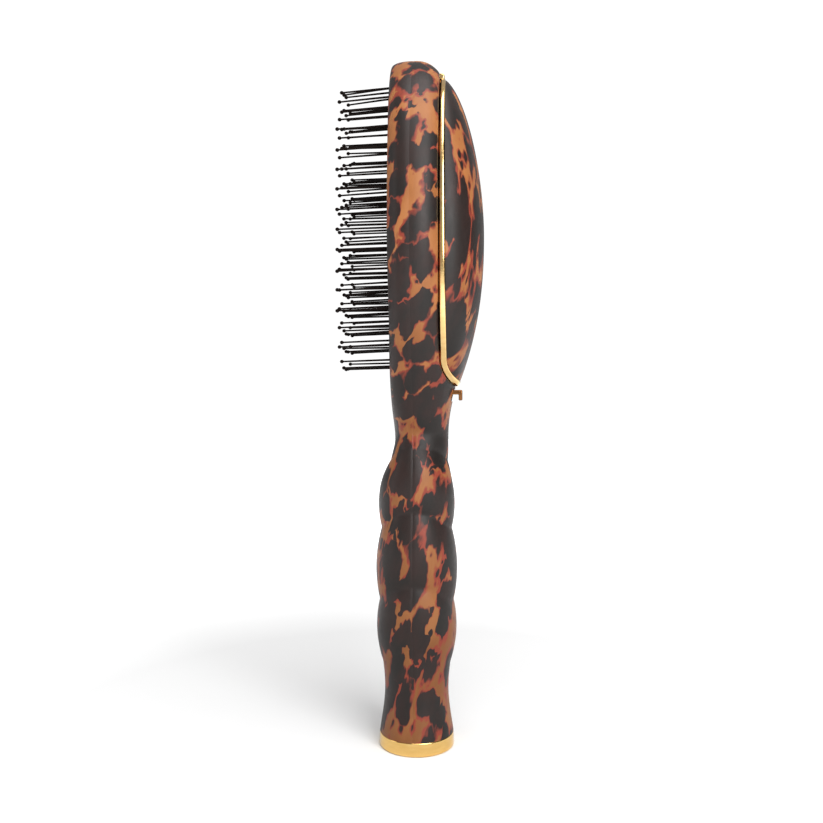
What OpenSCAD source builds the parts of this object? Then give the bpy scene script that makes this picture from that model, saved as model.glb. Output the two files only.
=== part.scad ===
// Storage hairbrush that stands on its end cap. +Z runs up the brush, the
// bristles point along -Y, the hinged back lid is on +Y, and the part is
// symmetric about X = 0. The origin is the middle of the end cap's flat
// underside.

/* [Overall] */
// Height of the brush, from the end cap's underside to the top of the head
brush_l = 229; // [190:1:280]
// Height at which the neck is thinnest and the head begins
neck_z = 103; // [85:1:124]
// Width of the head, across the bristle rows
head_w = 55; // [45:1:66]
// Distance of the rim around the bristles in front of the handle's axis
rim_y = 8.1; // [7.4:0.1:9.8]
// Distance of the face under the lid behind the handle's axis
back_y = 8.2; // [7.8:0.1:10]
// Wall of the moulded shells
wall = 2; // [1.6:0.1:2.4]

/* [Handle] */
// Radius of the handle where it meets the end cap
foot_r = 12.4; // [11.6:0.1:13.5]
// Radius of the waist between the end cap and the lowest swelling
waist_r = 11; // [10.2:0.1:12]
// Radius of the neck
neck_r = 9; // [8.2:0.1:10.5]
// How far the neck leans towards the lid side
neck_lean = 1.7; // [0:0.1:2]
// How much the swellings of the grip stand out from its creases
swell = 1.5; // [0:0.1:2.5]
// How much higher the creases run at the sides than at the front and back
arch = 6; // [0:0.5:8]

/* [End cap] */
// How far the end cap stands out around the handle's foot
cap_lip = 0.2; // [0:0.1:1]
// Height of the end cap
cap_h = 4.6; // [3:0.1:8]
// Rounding of the end cap's edges
cap_round = 0.7; // [0.3:0.1:1.2]
// Length of the weight that reaches up into the handle
weight_l = 24; // [12:1:30]

/* [Lid] */
// Border of the head beside the gold bezel around the lid
bezel_border = 4.3; // [4:0.1:6]
// Height of the bezel's lowest point above the neck
bezel_rise = 17.9; // [16:0.1:21]
// Width of the bezel's band, seen from behind
bezel_band = 1.8; // [1.4:0.1:2.4]
// Thickness of the bezel
bezel_t = 1.5; // [1.2:0.1:2]
// Extra thickness of the bezel where it bends, at its lower end
bend_extra = 0.6; // [0:0.1:1]
// Radius of the bend at the bezel's lower end
bend_r = 9.6; // [9:0.1:12]
// Height at which that bend begins, above the bezel's lowest point
bend_rise = 8.1; // [7:0.1:10]
// How far the lid's dome rises behind the face under the lid
dome_h = 14.5; // [11:0.1:17]
// Height of the dome above that face at its lower end
dome_end = 6; // [5.5:0.1:7]
// Wall of the lid
lid_wall = 1.8; // [1.4:0.1:2.2]
// Radius of the hinge knuckles
knuckle_r = 1.1; // [0.9:0.05:1.3]
// Radius of the hinge pin
pin_r = 0.5; // [0.4:0.05:0.6]

/* [Mirror] */
// Distance between the bezel's band and the frame that holds the mirror
frame_side = 1.2; // [1:0.1:4]
// Thickness of that frame behind the mirror
frame_back = 1.2; // [0.8:0.1:1.5]
// Width of the frame's border around the mirror
frame_border = 1.6; // [1.2:0.1:3]
// Thickness of the mirror
mirror_t = 1.5; // [1:0.1:1.8]
// Thickness of the tape that holds the mirror
tape_t = 0.2; // [0.1:0.05:0.3]

/* [Compartment] */
// How much narrower the compartment is than the mirror's frame, at each side
tray_side = 3.2; // [3:0.1:8]
// How much shorter it is than that frame, at each end
tray_end = 5.6; // [5:0.1:10]
// Depth of the compartment
tray_d = 7.4; // [5:0.1:8.9]
// Wall of the compartment's tray
tray_wall = 1.2; // [1:0.1:1.4]

/* [Bristles] */
// Border of the head beside the opening for the bristle pad
pad_border = 5.7; // [5.5:0.1:8]
// Border of the head above that opening
pad_top = 5.4; // [5:0.1:10]
// Height of that opening's lower end above the neck
pad_rise = 20.6; // [19:0.1:28]
// Thickness of the pad
pad_t = 1.8; // [1.4:0.1:2]
// Thickness of the plate behind the pad
plate_t = 1.3; // [1:0.1:1.4]
// Number of bristle rows across the pad, always odd
rows = 9; // [5:2:9]
// Distance of the outermost rows from the opening's sides
row_margin = 3.8; // [3:0.1:6]
// Smallest distance between the bristles of a row
bristle_pitch = 6; // [5:0.1:8]
// Diameter of a bristle
bristle_d = 0.7; // [0.6:0.05:1]
// Diameter of the ball at a bristle's tip
ball_d = 1.3; // [1.2:0.05:2]
// How far the bristles reach in front of the rim
bristle_reach = 16.7; // [12:0.1:22]

/* [Latch] */
// Width of the thumb tab
tab_w = 7; // [5:0.1:7.4]
// How far the thumb tab stands behind the face under the lid
tab_reach = 7.2; // [6.2:0.1:8]
// Gap between the bezel and the tab's shelf
tab_gap = 1.7; // [0.9:0.1:2.5]
// Thickness of the tab's shelf
shelf_t = 1.5; // [1.2:0.1:2.2]
// Thickness of the tab's lip
lip_t = 1.2; // [1:0.1:1.6]
// Height of the tab's lip
lip_h = 3.5; // [3:0.1:5]
// Travel of the latch
latch_travel = 2; // [1.6:0.1:2.2]
// Width of the lid's catch
catch_w = 5; // [4:0.1:5.4]
// Outer diameter of the latch spring
spring_d = 3.6; // [3:0.1:4.2]
// Wire diameter of the latch spring
wire_d = 0.4; // [0.3:0.05:0.5]
// Turns of the latch spring
spring_turns = 5; // [4:1:6]

/* [Fits] */
// Gap between pieces that move past each other
gap = 0.3; // [0.25:0.05:0.4]
// Clearance of a piece that sits in a pocket of the same body
seat = 0.1; // [0.05:0.05:0.15]
// Radial clearance of the hinge pin in the lid's knuckle
pin_play = 0.05; // [0.03:0.01:0.08]
// Radial clearance of a glued or pressed round piece
glue_play = 0.01; // [0.01:0.01:0.02]

/* [Hidden] */

tortoise = "saddlebrown";
gold = "goldenrod";
black = [0.12, 0.11, 0.11];

sides = 40;               // points around a shell's cross-section
seam_y = -0.5;            // plane where the front and back shells meet
wide_z = brush_l - 58;    // height of the widest point of the head
oval_n = 2.3;             // squareness of the ovals of the pad, lid and mirror
head_n = 2.6;             // squareness of the head's cross-section
front_depth = rim_y + seam_y + 3;     // head's front half before the rim is cut flat
back_depth = back_y - seam_y + 5.5;   // the same behind, before the lid's face is cut
round_z = brush_l - 30;   // height where the head's end begins to round off

// Creases of the grip, from the lowest up: share of the height between the end
// cap and the neck, radius as a share of the foot radius, and how full the
// swelling above is.
creases = [[0.24, 0.92, 1], [0.45, 1, 1.05], [0.695, 0.95, 1.35], [0.923, 0.775, 0]];

// ---- helper functions ----
function smooth(t) = let (u = min(max(t, 0), 1)) u * u * (3 - 2 * u);
function mix(a, b, t) = a + (b - a) * t;
function between(z, a, b) = (z - a) / (b - a);
function power(v, p) = sign(v) * pow(abs(v), p);
function round_off(t, p) = pow(max(1 - pow(min(max(t, 0), 1), p), 0), 1 / p);

function crease_z(i) = mix(cap_h, neck_z, creases[i][0]);
function crease_r(i) = foot_r * creases[i][1];
function swelling(z, i) =
    let (t = between(z, crease_z(i), crease_z(i + 1)))
    mix(crease_r(i), crease_r(i + 1), t)
        + swell * creases[i][2] * pow(sin(180 * t), 0.8);
function low_waist(z) =
    let (t = between(z, cap_h, crease_z(0)))
    mix(foot_r, crease_r(0), t) - (foot_r - waist_r - 0.3) * sin(180 * pow(t, 1.15));
function grip_r(z) =
    z < crease_z(0) ? low_waist(max(z, cap_h)) :
    z < crease_z(1) ? swelling(z, 0) :
    z < crease_z(2) ? swelling(z, 1) :
    z < crease_z(3) ? swelling(z, 2) :
    mix(crease_r(3), neck_r, smooth(between(z, crease_z(3), neck_z)));

// Height whose radius applies at a point of the grip: the creases rise
// towards the sides, and the shift fades out at both ends of the grip.
function arched(z, side) =
    z - arch * side * side
        * smooth(between(z, crease_z(0) - 8, crease_z(0) + 4))
        * (1 - smooth(between(z, crease_z(3), neck_z + 8)));

function head_share(z) = smooth(between(z, neck_z, wide_z));
function body_half_w(z) =
    z < neck_z ? grip_r(z) :
    z < wide_z ? mix(neck_r, head_w / 2, pow(head_share(z), 0.6)) :
    head_w / 2 * round_off(between(z, wide_z, brush_l), 2.2);
function lean(z) = neck_lean * pow(smooth(between(z, crease_z(3) - 9.5, neck_z)), 1.3);
function body_front(z) =
    z < neck_z ? grip_r(z) - lean(z) + seam_y :
    mix(neck_r - neck_lean + seam_y, front_depth, smooth(between(z, neck_z, neck_z + 22)))
        * round_off(between(z, round_z, brush_l), 5);
function body_back(z) =
    z < neck_z ? grip_r(z) + lean(z) - seam_y :
    mix(neck_r + neck_lean - seam_y, back_depth,
        pow(smooth(between(z, neck_z, neck_z + 23)), 1.3))
        * round_off(between(z, round_z, brush_l), 2.3);
function squareness(z) = mix(2, head_n, head_share(z));

// Half cross-section of the body at height z, inset by a wall; face is -1
// for the front half and 1 for the back half. Both run counterclockwise.
function body_ring(z, inset, face, n) = [
    for (i = [0 : n])
        let (a = 90 - face * (90 - 180 * i / n),
             zz = z < neck_z + 8 ? arched(z, cos(a)) : z,
             w = body_half_w(zz) - inset,
             d = (face < 0 ? body_front(zz) : body_back(zz)) - inset,
             p = 2 / squareness(z))
        [w * power(cos(a), p), seam_y + face * d * power(sin(a), p), z]
];

// Heights of the rings: even along the handle, closer together at the top.
function body_levels(z0, z1, n_low, n_high) = concat(
    [for (i = [0 : n_low - 1]) mix(z0, round_z, i / n_low)],
    [for (i = [0 : n_high]) mix(round_z, z1, sin(90 * i / n_high))]);

// Half cross-section of the lid's dome, which stands on the face under it.
function dome_half_w(z) = (bezel_w / 2 - dome_inset)
    * round_off(abs(between(z, bezel_mid, bezel_top)), oval_n);
function dome_rise(z) =
    z > wide_z ? dome_h * round_off(between(z, wide_z, bezel_top), 1.75) :
    mix(dome_end, dome_h, 1 - pow(min(between(z, wide_z, bezel_z), 1), 2.3));
function dome_ring(z, inset, n) = [
    for (i = [0 : n])
        let (a = 180 * i / n)
        [max(dome_half_w(z) - inset, 0.2) * power(cos(a), 2 / 2.2),
         back_y + max(dome_rise(z) - inset, 0.2) * power(sin(a), 2 / 2.2), z]
];

// Outline of an oval with squared shoulders: half width, half length.
function oval(half_w, half_l, n = 72) = [
    for (i = [0 : n - 1])
        let (a = 360 * i / n)
        [half_w * power(cos(a), 2 / oval_n), half_l * power(sin(a), 2 / oval_n)]
];

// ---- derived sizes and places ----
cap_r = foot_r + cap_lip;
weight_r = waist_r - wall;                  // weight fills the handle at its waist

bezel_w = head_w - 2 * bezel_border;
bezel_z = neck_z + bezel_rise;
bend_z = bezel_z + bend_rise;
bezel_top = brush_l - 5.8;                  // where the bezel's oval would close
bezel_mid = (bezel_top + bezel_z) / 2;
bezel_half = (bezel_top - bezel_z) / 2;
dome_inset = 0.4;                           // bezel's edge beyond the dome
bezel_lip = 0.5;                            // the same at the lid's lower end
hinge_z = brush_l - 6.6;
hinge_y = back_y + 0.4;
trim_z = hinge_z - knuckle_r - gap;         // top of the lid beside its knuckle
leaf_w = 14;                                // hinge leaf on the bezel
leaf_z = trim_z - 2.8;
knuckle_w = 6;
lug_w = 3.6;
lug_x = knuckle_w / 2 + gap;                // inner face of the body's lugs

lid_y = back_y + gap;                       // front face of everything on the lid
mirror_y = lid_y + 0.1;
frame_w = bezel_w - 2 * (bezel_band + frame_side);
frame_t = mirror_y + mirror_t + tape_t + frame_back - lid_y;
frame_z0 = bend_z + 2;
frame_mid = (frame_z0 + leaf_z) / 2;
frame_half = (leaf_z - frame_z0) / 2;

tray_w = frame_w - 2 * tray_side;
tray_l = 2 * (frame_half - tray_end);
tray_z = frame_mid - 0.6;
flange_t = 1.2;
flange_lip = 2;
flange_y = back_y - 0.1;                    // face of the tray's flange

pad_w = head_w - 2 * pad_border;
pad_l = brush_l - pad_top - neck_z - pad_rise;
pad_z = brush_l - pad_top - pad_l / 2;
row_pitch = (pad_w - 2 * row_margin) / (rows - 1);
pad_face_y = -rim_y + wall;                 // back of the rim's wall
pad_flange = 0.7;                           // pad's edge held behind the rim
pad_dome = 1.5;                             // pad's middle in the opening
bristle_root_y = pad_face_y + pad_t;
head_t = 0.5;                               // moulded head of a bristle
plate_y = bristle_root_y + head_t + 0.05;
pad_margin = 1.3;                           // bare border of the pad at its sides
pad_end = 3.2;                              // the same at its ends

tab_y = back_y + tab_reach;
slide_y0 = back_y - 2;                      // latch slide, inside and outside faces
slide_y1 = back_y - 0.2;
slide_foot = 2;
slide_z = bezel_z - 8.9;                    // underside of the latch slide
shelf_z = bezel_z - tab_gap - shelf_t;      // underside of the tab's shelf
catch_z = bezel_z + 2.9;                    // underside of the catch's finger
catch_t = 1.5;
nose_h = 1.5;                               // how far the catch's nose reaches down
nose_t = 1.3;
engage = 1;                                 // overlap of the tongue and the nose
spring_y = slide_y0 - 1;
spring_l = 6.5;
guide_t = 2;
spring_z = slide_z - spring_l;
guide_z = spring_z - guide_t;

// ---- helper modules ----
// A closed solid through a list of rings with the same number of points.
module skin(rings) {
    m = len(rings[0]);
    k = len(rings);
    points = [for (r = rings) for (p = r) p];
    sides_f = [for (j = [0 : k - 2]) for (i = [0 : m - 1])
        let (a = j * m + i, b = j * m + (i + 1) % m)
        each [[a, b + m, b], [a, a + m, b + m]]];
    ends = [[for (i = [0 : m - 1]) i],
            [for (i = [m - 1 : -1 : 0]) (k - 1) * m + i]];
    polyhedron(points, concat(sides_f, ends), convexity = 6);
}

// A flat outline in X and Z, made solid from y0 to y1.
module slab(y0, y1) {
    translate([0, y1, 0]) rotate([90, 0, 0]) linear_extrude(y1 - y0) children();
}

// A flat outline in Y and Z, made solid across a width centred on X = 0.
module across(w) {
    translate([-w / 2, 0, 0]) rotate([90, 0, 90]) linear_extrude(w) children();
}

module oval_at(z, half_w, half_l) {
    translate([0, z]) polygon(oval(half_w, half_l));
}

module block(x0, x1, y0, y1, z0, z1) {
    translate([x0, y0, z0]) cube([x1 - x0, y1 - y0, z1 - z0]);
}

module centred_block(w, y0, y1, z0, z1) {
    block(-w / 2, w / 2, y0, y1, z0, z1);
}

// Cylinder along X.
module rod(r, x0, x1, y, z) {
    translate([x0, y, z]) rotate([0, 90, 0]) cylinder(r = r, h = x1 - x0, $fn = 48);
}

// Everything behind the face under the lid, offset towards the lid by d.
// The face is flat and bends back in an arc at its lower end, where extra
// adds to the offset.
module behind_face(d, extra = 0) {
    r = bend_r - d - extra;
    cy = back_y + bend_r;
    polygon(concat(
        [[back_y + d, brush_l + 20]],
        [for (i = [0 : 12]) let (a = 180 + 90 * i / 12)
            [cy + r * cos(a), bend_z + r * sin(a)]],
        [[60, bend_z - r], [60, brush_l + 20]]));
}

module bezel_oval(inset) {
    oval_at(bezel_mid, bezel_w / 2 - inset, bezel_half - inset);
}

// Weight hole, which both shells share.
module weight_hole() {
    translate([0, 0, cap_h - 1])
        cylinder(r = weight_r + glue_play, h = weight_l + 1 + glue_play, $fn = 64);
}

module body_half(face) {
    skin([for (z = body_levels(cap_h, brush_l - 0.02, 52, 12))
        body_ring(z, 0, face, sides / 2)]);
}

// Hollow inside a half of the body, a wall thinner all round.
module body_hollow(face) {
    skin([for (z = body_levels(cap_h + weight_l + 2, brush_l - wall, 26, 6))
        body_ring(z, wall, face, sides / 4)]);
}

// Everything behind the rim's flat face, which ends at the neck.
module rim_side() {
    polygon([[-rim_y, brush_l + 1], [-rim_y, neck_z], [-3 * foot_r, neck_z],
             [-3 * foot_r, 0], [seam_y, 0], [seam_y, brush_l + 1]]);
}

// ---- body ----
module front_shell() {
    color(tortoise)
    difference() {
        intersection() {
            body_half(-1);
            across(2 * head_w) rim_side();
        }
        intersection() {
            union() {
                body_hollow(-1);
                centred_block(2 * neck_r - 3 * wall, seam_y - 1, seam_y + 1,
                    cap_h + weight_l + 4, neck_z);
            }
            block(-60, 60, pad_face_y, seam_y + 2, 0, brush_l);
        }
        slab(pad_face_y, seam_y + 1)
            oval_at(pad_z, pad_w / 2 + pad_flange + seat, pad_l / 2 + pad_flange + seat);
        slab(-rim_y - 1, seam_y + 1) oval_at(pad_z, pad_w / 2, pad_l / 2);
        weight_hole();
    }
}

module back_shell() {
    color(tortoise)
    difference() {
        body_half(1);
        across(2 * head_w) behind_face(0);
        intersection() {
            body_hollow(1);
            block(-60, 60, seam_y - 1, back_y - wall, 0, brush_l);
        }
        slab(seam_y - 1, back_y + 1)
            oval_at(tray_z, tray_w / 2 + tray_wall + seat, tray_l / 2 + tray_wall + seat);
        slab(flange_y - flange_t, back_y + 1) {
            tray_flange_outline(seat);
            bracket_outline(seat);
        }
        hinge_trough();
        latch_pocket();
        weight_hole();
    }
}

module tray_flange_outline(extra) {
    oval_at(tray_z, tray_w / 2 + tray_wall + flange_lip + extra,
        tray_l / 2 + tray_wall + flange_lip + extra);
}

module bracket_outline(extra) {
    half = lug_x + lug_w + extra;
    translate([-half, tray_z]) square([2 * half, hinge_z - tray_z]);
}

// Trough that the hinge's knuckles turn in.
module hinge_trough() {
    rod(knuckle_r + gap, -lug_x - lug_w - gap, lug_x + lug_w + gap, hinge_y, hinge_z);
}

// Space in the neck for the latch, its spring and the lid's catch.
module latch_pocket() {
    centred_block(tab_w + 2 * gap, spring_y - spring_d / 2 - 2 * gap, slide_y1 + gap,
        guide_z, catch_z + catch_t + gap);
    centred_block(tab_w + 2 * gap, slide_y0, tab_y,
        shelf_z - latch_travel - gap, shelf_z + shelf_t + gap);
    centred_block(catch_w + 2 * gap, slide_y0 - 1, tab_y,
        catch_z - gap - nose_h + engage, catch_z + catch_t + gap);
}

module end_cap() {
    color(gold) {
        rotate_extrude($fn = 96)
        polygon(concat(
            [[0, 0]],
            [for (a = [-90 : 15 : 0])
                [cap_r - cap_round + cap_round * cos(a), cap_round + cap_round * sin(a)]],
            [for (a = [0 : 15 : 90])
                [cap_r - cap_round + cap_round * cos(a),
                 cap_h - cap_round + cap_round * sin(a)]],
            [[weight_r, cap_h], [weight_r, cap_h + weight_l - 1],
             [weight_r - 1, cap_h + weight_l], [0, cap_h + weight_l]]));
    }
}

// ---- bristles ----
function row_x(i) = (i - (rows + 1) / 2) * row_pitch;
function row_reach(x) = (pad_l / 2 - pad_end)
    * round_off(abs(x) / (pad_w / 2 - pad_margin), 2.6);
function row_heights(i) =
    let (reach = row_reach(row_x(i)), n = floor(2 * reach / bristle_pitch))
    [for (k = [0 : n]) mix(-reach, reach, k / n)];

// Puts its children on every bristle's axis of a row, with -Y outward.
module on_row(i) {
    for (z = row_heights(i)) translate([row_x(i), 0, pad_z + z]) children();
}

// Round bar along Y.
module pin_y(r, y0, y1) {
    translate([0, y1, 0]) rotate([90, 0, 0]) cylinder(r = r, h = y1 - y0, $fn = 16);
}

module bristle_row(i) {
    color(black) on_row(i) {
        pin_y(bristle_d / 2, -rim_y - bristle_reach + ball_d / 2, bristle_root_y + head_t);
        pin_y(bristle_d, bristle_root_y, bristle_root_y + head_t);
        translate([0, -rim_y - bristle_reach + ball_d / 2, 0])
            sphere(d = ball_d, $fn = 20);
    }
}

module bristle_pad() {
    color(black)
    difference() {
        union() {
            slab(pad_face_y, pad_face_y + pad_t)
                oval_at(pad_z, pad_w / 2 + pad_flange, pad_l / 2 + pad_flange);
            slab(pad_face_y - pad_dome, pad_face_y + pad_t)
                oval_at(pad_z, pad_w / 2 - seat, pad_l / 2 - seat);
        }
        for (i = [1 : rows]) on_row(i)
            pin_y(bristle_d / 2 + glue_play, -rim_y - 1, bristle_root_y + 1);
    }
}

module pad_backing_plate() {
    color("dimgray")
    slab(plate_y, plate_y + plate_t)
        oval_at(pad_z, pad_w / 2 + pad_flange - seat, pad_l / 2 + pad_flange - seat);
}

// ---- compartment, hinge and latch ----
module compartment_tray() {
    color("dimgray")
    difference() {
        union() {
            slab(flange_y - tray_d - tray_wall, flange_y)
                oval_at(tray_z, tray_w / 2 + tray_wall, tray_l / 2 + tray_wall);
            slab(flange_y - flange_t, flange_y) tray_flange_outline(0);
        }
        slab(flange_y - tray_d, flange_y + 1) oval_at(tray_z, tray_w / 2, tray_l / 2);
    }
}

// Plate between the tray's flange and the hinge, with two lugs for the pin.
module hinge_bracket() {
    color(gold)
    difference() {
        union() {
            slab(flange_y - flange_t, flange_y) bracket_outline(0);
            for (s = [-1, 1])
                rod(knuckle_r, min(s * lug_x, s * (lug_x + lug_w)),
                    max(s * lug_x, s * (lug_x + lug_w)), hinge_y, hinge_z);
        }
        slab(0, flange_y + 1) tray_flange_outline(seat);
        rod(knuckle_r + gap, -lug_x, lug_x, hinge_y, hinge_z);
        rod(pin_r + glue_play, -lug_x - lug_w - 1, lug_x + lug_w + 1, hinge_y, hinge_z);
    }
}

module hinge_pin() {
    color("silver")
    rod(pin_r, -lug_x - lug_w, lug_x + lug_w, hinge_y, hinge_z);
}

module latch_guide() {
    color("dimgray")
    difference() {
        centred_block(tab_w, spring_y - spring_d / 2 - gap, slide_y1, guide_z, spring_z);
        translate([0, spring_y, spring_z - 0.6])
            cylinder(d = spring_d + 2 * seat, h = 1, $fn = 32);
    }
}

module latch_spring() {
    r = (spring_d - wire_d) / 2;
    z0 = spring_z - 0.6 + wire_d / 2;
    rise = spring_l + 0.6 - wire_d;
    steps = 14 * spring_turns;
    color("silver")
    skin([for (k = [0 : steps])
        let (a = 360 * spring_turns * k / steps, z = z0 + rise * k / steps)
        [for (j = [0 : 5])
            let (b = -60 * j, q = r + wire_d / 2 * cos(b))
            [q * cos(a), spring_y + q * sin(a), z + wire_d / 2 * sin(b)]]]);
}

module latch_slide() {
    color(gold)
    union() {
        centred_block(tab_w, spring_y - spring_d / 2 - gap, slide_y1,
            slide_z, slide_z + slide_foot);
        centred_block(tab_w, slide_y0, slide_y1, slide_z, shelf_z + shelf_t + gap);
        centred_block(catch_w, slide_y0, slide_y1 - gap,
            shelf_z, catch_z - nose_h + engage);
        centred_block(tab_w, slide_y0, tab_y, shelf_z, shelf_z + shelf_t);
        centred_block(tab_w, tab_y - lip_t, tab_y, shelf_z + shelf_t - lip_h,
            shelf_z + shelf_t);
    }
}

// ---- lid ----
module lid_shell() {
    color(tortoise)
    difference() {
        intersection() {
            skin([for (i = [0 : 30])
                dome_ring(bezel_mid - (bezel_half - dome_inset) * cos(6 * i), 0, sides / 2)]);
            across(2 * head_w) behind_face(gap + bezel_t, bend_extra);
            block(-60, 60, 0, 60, 0, trim_z);
        }
        skin([for (i = [0 : 20])
            dome_ring(bezel_mid - (bezel_half - dome_inset - lid_wall) * cos(9 * i),
                lid_wall, sides / 4)]);
    }
}

module lid_bezel() {
    color(gold)
    difference() {
        union() {
            intersection() {
                slab(back_y - 1, back_y + 20) difference() {
                    bezel_oval(0);
                    bezel_oval(bezel_band);
                }
                across(2 * head_w) difference() {
                    behind_face(gap);
                    behind_face(gap + bezel_t, bend_extra);
                }
                block(-60, 60, 0, back_y + dome_end + bezel_lip, 0, trim_z);
            }
            centred_block(leaf_w, lid_y, lid_y + bezel_t, leaf_z, trim_z);
            centred_block(knuckle_w, lid_y, hinge_y + knuckle_r, trim_z - 0.5, hinge_z);
            rod(knuckle_r, -knuckle_w / 2, knuckle_w / 2, hinge_y, hinge_z);
        }
        rod(pin_r + pin_play, -knuckle_w, knuckle_w, hinge_y, hinge_z);
    }
}

module mirror_frame() {
    color(black)
    difference() {
        slab(lid_y, lid_y + frame_t) oval_at(frame_mid, frame_w / 2, frame_half);
        slab(lid_y - 1, mirror_y + mirror_t + tape_t)
            oval_at(frame_mid, frame_w / 2 - frame_border, frame_half - frame_border);
    }
}

module mirror() {
    color("lightblue")
    slab(mirror_y, mirror_y + mirror_t)
        oval_at(frame_mid, frame_w / 2 - frame_border - seat,
            frame_half - frame_border - seat);
}

module mirror_tape() {
    color("gray")
    slab(mirror_y + mirror_t, mirror_y + mirror_t + tape_t)
        oval_at(frame_mid, frame_w / 2 - frame_border - 2,
            frame_half - frame_border - 2);
}

module lid_catch() {
    y1 = lid_y + frame_t;
    nose_y = slide_y0 - gap - nose_t;
    color(black)
    union() {
        centred_block(catch_w, y1, y1 + 1.2, catch_z, frame_z0 + 7);
        centred_block(catch_w, nose_y, y1 + 1.2, catch_z, catch_z + catch_t);
        centred_block(catch_w, nose_y, nose_y + nose_t, catch_z - nose_h, catch_z + catch_t);
    }
}

// ---- assembly ----
front_shell();
back_shell();
end_cap();
bristle_pad();
pad_backing_plate();
for (i = [1 : rows])
    bristle_row(i);
compartment_tray();
hinge_bracket();
hinge_pin();
latch_guide();
latch_spring();
latch_slide();
lid_shell();
lid_bezel();
mirror_frame();
mirror();
mirror_tape();
lid_catch();
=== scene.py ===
"""Storage hairbrush: looks, materials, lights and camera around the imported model.

The object's sizes are in millimetres, and the stage's, lights' and camera's are
in metres; every mesh is written out in metres. The head's and the lid's shapes
follow the same curves as the design, at a finer resolution.
"""
import math
import random

import bmesh
import bpy
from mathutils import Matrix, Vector


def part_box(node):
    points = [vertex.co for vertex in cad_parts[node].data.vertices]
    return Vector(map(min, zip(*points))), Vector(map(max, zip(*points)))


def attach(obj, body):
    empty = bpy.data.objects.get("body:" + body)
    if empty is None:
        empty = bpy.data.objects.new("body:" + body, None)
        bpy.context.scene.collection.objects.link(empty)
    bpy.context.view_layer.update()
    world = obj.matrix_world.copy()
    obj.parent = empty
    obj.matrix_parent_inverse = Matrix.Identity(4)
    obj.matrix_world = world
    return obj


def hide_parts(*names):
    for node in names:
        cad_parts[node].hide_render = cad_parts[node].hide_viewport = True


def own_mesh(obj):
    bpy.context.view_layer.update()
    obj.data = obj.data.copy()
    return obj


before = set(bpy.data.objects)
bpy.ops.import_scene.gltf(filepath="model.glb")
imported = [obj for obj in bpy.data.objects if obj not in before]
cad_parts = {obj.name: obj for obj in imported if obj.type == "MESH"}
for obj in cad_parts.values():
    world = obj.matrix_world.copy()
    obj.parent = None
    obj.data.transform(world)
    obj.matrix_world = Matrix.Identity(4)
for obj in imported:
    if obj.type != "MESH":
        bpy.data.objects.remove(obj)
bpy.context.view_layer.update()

MM = 0.001


def node_box(name):
    """A CAD node's lowest and highest corners, in millimetres."""
    low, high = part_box(name)
    return [v / MM for v in low], [v / MM for v in high]


# ---- driving sizes, from the frame where a node shows them ----
BRUSH_L = node_box("back_shell")[1][2]
CAP_H = node_box("back_shell")[0][2]
HEAD_HALF_W = node_box("back_shell")[1][0]
CAP_R = node_box("end_cap")[1][0]
SEAM_Y = node_box("back_shell")[0][1]
RIM_Y = 8.1               # rim in front of the axis
BACK_Y = 8.2              # face under the lid, behind the axis
NECK_Z = 103              # where the handle ends and the head begins
WIDE_Z = BRUSH_L - 58     # widest place of the head
PAD_Z = BRUSH_L - 55.4    # middle of the pad
ROUND_Z = BRUSH_L - 30    # where the head's top starts to round off
GAP = 0.3                 # clearance between moving pieces
FOOT_R, WAIST_R, NECK_R, NECK_LEAN = 12.4, 11.0, 9.0, 1.7
SWELL, ARCH = 1.5, 6.0
# For each crease: height as a share of the handle, radius as a share of the foot's,
# and the swelling above it as a share of SWELL.
CREASES = [(0.24, 0.92, 1.0), (0.45, 1.0, 1.05), (0.695, 0.95, 1.35), (0.923, 0.775, 0.0)]
HEAD_N, OVAL_N = 2.6, 2.3
FRONT_DEPTH, BACK_DEPTH = RIM_Y + SEAM_Y + 3, BACK_Y - SEAM_Y + 5.5
BEND_R, BEND_Z = 9.6, 129.0
BEZEL_HALF_W = node_box("lid_bezel")[1][0]
BEZEL_Z = 120.9
BEZEL_TOP = BRUSH_L - 5.8
BEZEL_MID = (BEZEL_TOP + BEZEL_Z) / 2
BEZEL_HALF = (BEZEL_TOP - BEZEL_Z) / 2
BEZEL_BAND, BEZEL_T, BEND_EXTRA = 1.8, 1.5, 0.6
BEND_TUCK = 0.4           # how much further the band reaches in at the bend
SEAM_GROOVE = 0.12        # how far both covers draw back where they meet
DOME_H, DOME_END, DOME_INSET, LID_WALL = 14.5, 6.0, 0.4, 1.8
HINGE_Y, HINGE_Z, KNUCKLE_R = BACK_Y + 0.4, BRUSH_L - 6.6, 1.1
KNUCKLE_HALF_W = 3.0
TRIM_Z = HINGE_Z - KNUCKLE_R - GAP
PAD_HALF_W, PAD_HALF_L = 21.8, 50.0
ABOVE_Z, OUTSIDE_Y = BRUSH_L + 20, 20    # clear of the body, for cutters


# ---- curves of the design ----
def smooth(t):
    """Eases from 0 to 1 as t does."""
    u = min(max(t, 0.0), 1.0)
    return u * u * (3 - 2 * u)


def mix(a, b, t):
    return a + (b - a) * t


def between(z, a, b):
    """How far z has gone from a to b, as a share."""
    return (z - a) / (b - a)


def power(v, p):
    """A power that keeps the sign, for superellipses."""
    return math.copysign(abs(v) ** p, v)


def round_off(t, p):
    """Falls from 1 to 0 along a superellipse of exponent p."""
    t = min(max(t, 0.0), 1.0)
    return max(1 - t ** p, 0.0) ** (1 / p)


def crease_z(i):
    return mix(CAP_H, NECK_Z, CREASES[i][0])


def crease_r(i):
    return FOOT_R * CREASES[i][1]


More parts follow.
